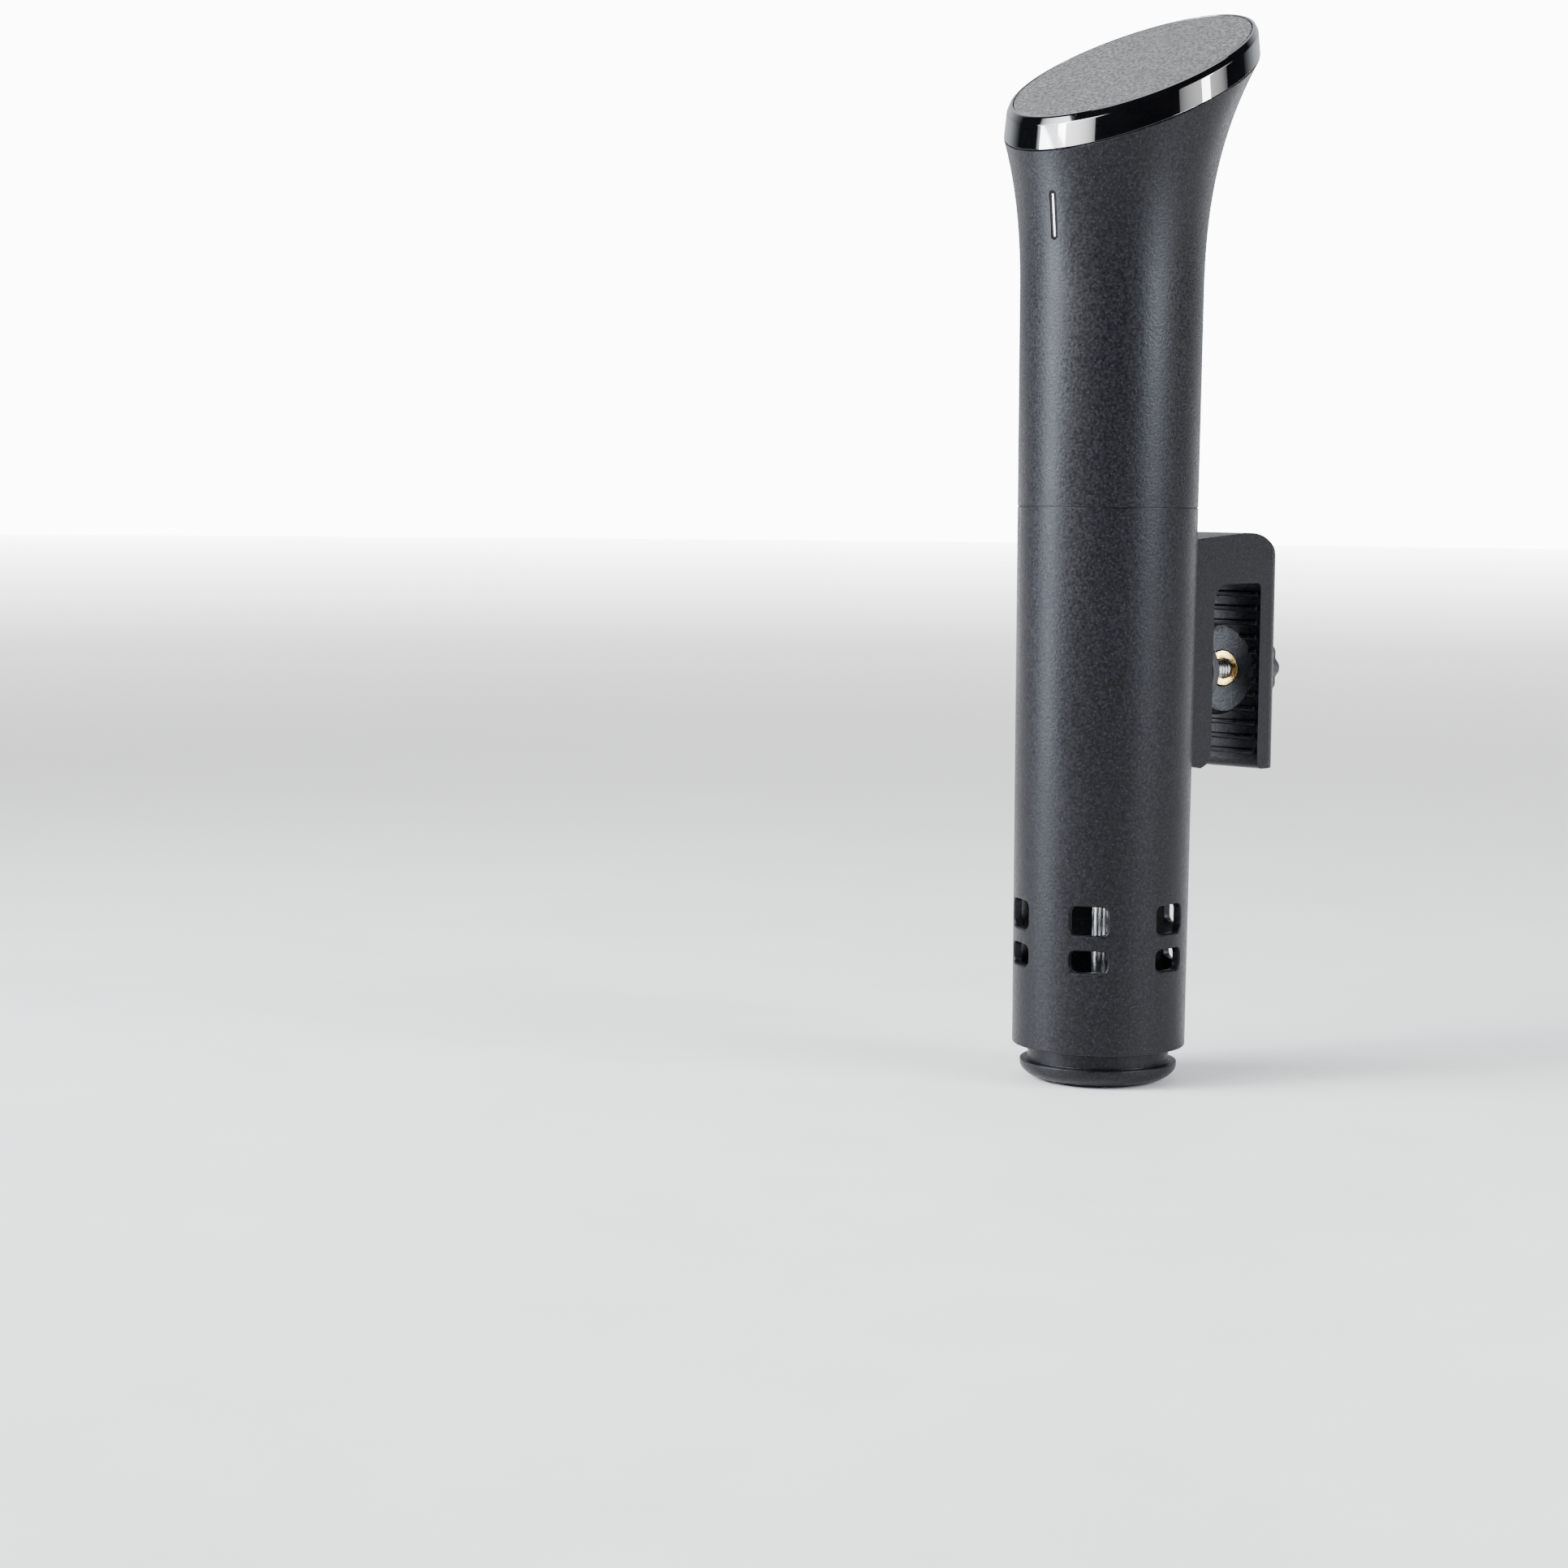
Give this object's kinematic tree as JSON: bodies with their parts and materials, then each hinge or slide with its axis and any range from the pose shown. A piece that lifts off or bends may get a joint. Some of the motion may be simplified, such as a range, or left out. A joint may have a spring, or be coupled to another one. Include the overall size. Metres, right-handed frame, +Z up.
{
  "type": "sous vide circulator",
  "caption": "Slim upright immersion circulator with a slanted oval head, a gloss band, a windowed skirt with a twist cap, and a screw clamp with a ribbed leg.",
  "frame": {"origin": "centre of the clamp's fixed grip face, on the soft pad on the tube's back", "axes": "+Z up along the tube, +Y from the tube to the clamp's leg, away from the head's low front side"},
  "size_m": [0.0746, 0.1108, 0.3267],
  "materials": {
    "shell": "fine satin texture, charcoal black",
    "gloss": "polished black",
    "panel": "matte mid grey, fine grain",
    "light": "clear white light guide",
    "soft": "soft matte black",
    "black_plastic": "moulded black",
    "grey_plastic": "moulded grey",
    "board": "green solder mask",
    "component": "moulded black component",
    "copper": "lacquered winding",
    "ceramic": "glazed ceramic",
    "steel": "brushed stainless steel",
    "brass": "machined brass",
    "aluminium": "extruded aluminium"
  },
  "bodies": {
    "housing": {"upper_housing": "shell", "bezel_ring": "gloss", "touch_panel": "panel", "bezel_gasket": "soft", "display_board": "board", "display_module": "black_plastic", "status_bezel": "gloss", "status_lens": "light", "status_led_board": "board", "chassis": "grey_plastic", "control_board": "board", "transformer": "copper", "relay": "component", "filter_capacitor": "component", "fuse": "ceramic", "heat_sink": "aluminium", "triac": "component", "radio_module": "steel", "cord_gland": "soft", "board_screw_lower": "steel", "board_screw_upper": "steel", "lower_housing": "shell", "seam_seal": "soft", "base_plate": "steel", "base_seal": "soft", "heater_coil": "steel", "heater_nut_left": "brass", "heater_nut_right": "brass", "temperature_probe": "steel", "level_rod_low": "steel", "level_rod_high": "steel", "plate_screw_1": "steel", "plate_screw_2": "steel", "plate_screw_3": "steel", "shaft_seal": "soft", "motor_mount": "grey_plastic", "motor_damper": "soft", "motor_can": "steel", "motor_bearing_lower": "brass", "motor_bearing_upper": "brass", "motor_screw_left": "steel", "motor_screw_right": "steel", "bearing_spider": "grey_plastic", "lower_bush": "black_plastic", "clamp_arm": "shell", "tube_pad": "soft", "clamp_insert": "brass", "arm_screw_left": "steel", "arm_screw_right": "steel"},
    "drive": {"motor_rotor": "steel", "motor_shaft": "steel", "shaft_coupling": "brass", "drive_shaft": "steel", "impeller": "black_plastic"},
    "cap": {"bottom_cap": "shell"},
    "jaw": {"clamp_jaw": "black_plastic", "jaw_pad": "soft"},
    "thumb_screw": {"clamp_screw": "steel", "clamp_knob": "black_plastic"}
  },
  "joints": [
    {"name": "pump_spin", "type": "hinge", "parent": "housing", "child": "drive", "pos_m": [0, -0.0327, 0], "axis": [0, 0, 1], "continuous": true},
    {"name": "cap_twist", "type": "hinge", "parent": "housing", "child": "cap", "pos_m": [0, -0.0327, -0.124], "axis": [0, 0, 1], "range_deg": [0, 30]},
    {"name": "jaw_slide", "type": "slide", "parent": "housing", "child": "jaw", "axis": [0, 1, 0], "range_m": [-0.004, 0.016]},
    {"name": "knob_turn", "type": "hinge", "parent": "jaw", "child": "thumb_screw", "pos_m": [0, 0, 0], "axis": [0, 1, 0], "range_deg": [-480, 1920]}
  ],
  "couplings": [
    {"joint": "jaw_slide", "follows": "knob_turn", "m_per_rad": 0.00047746}
  ]
}
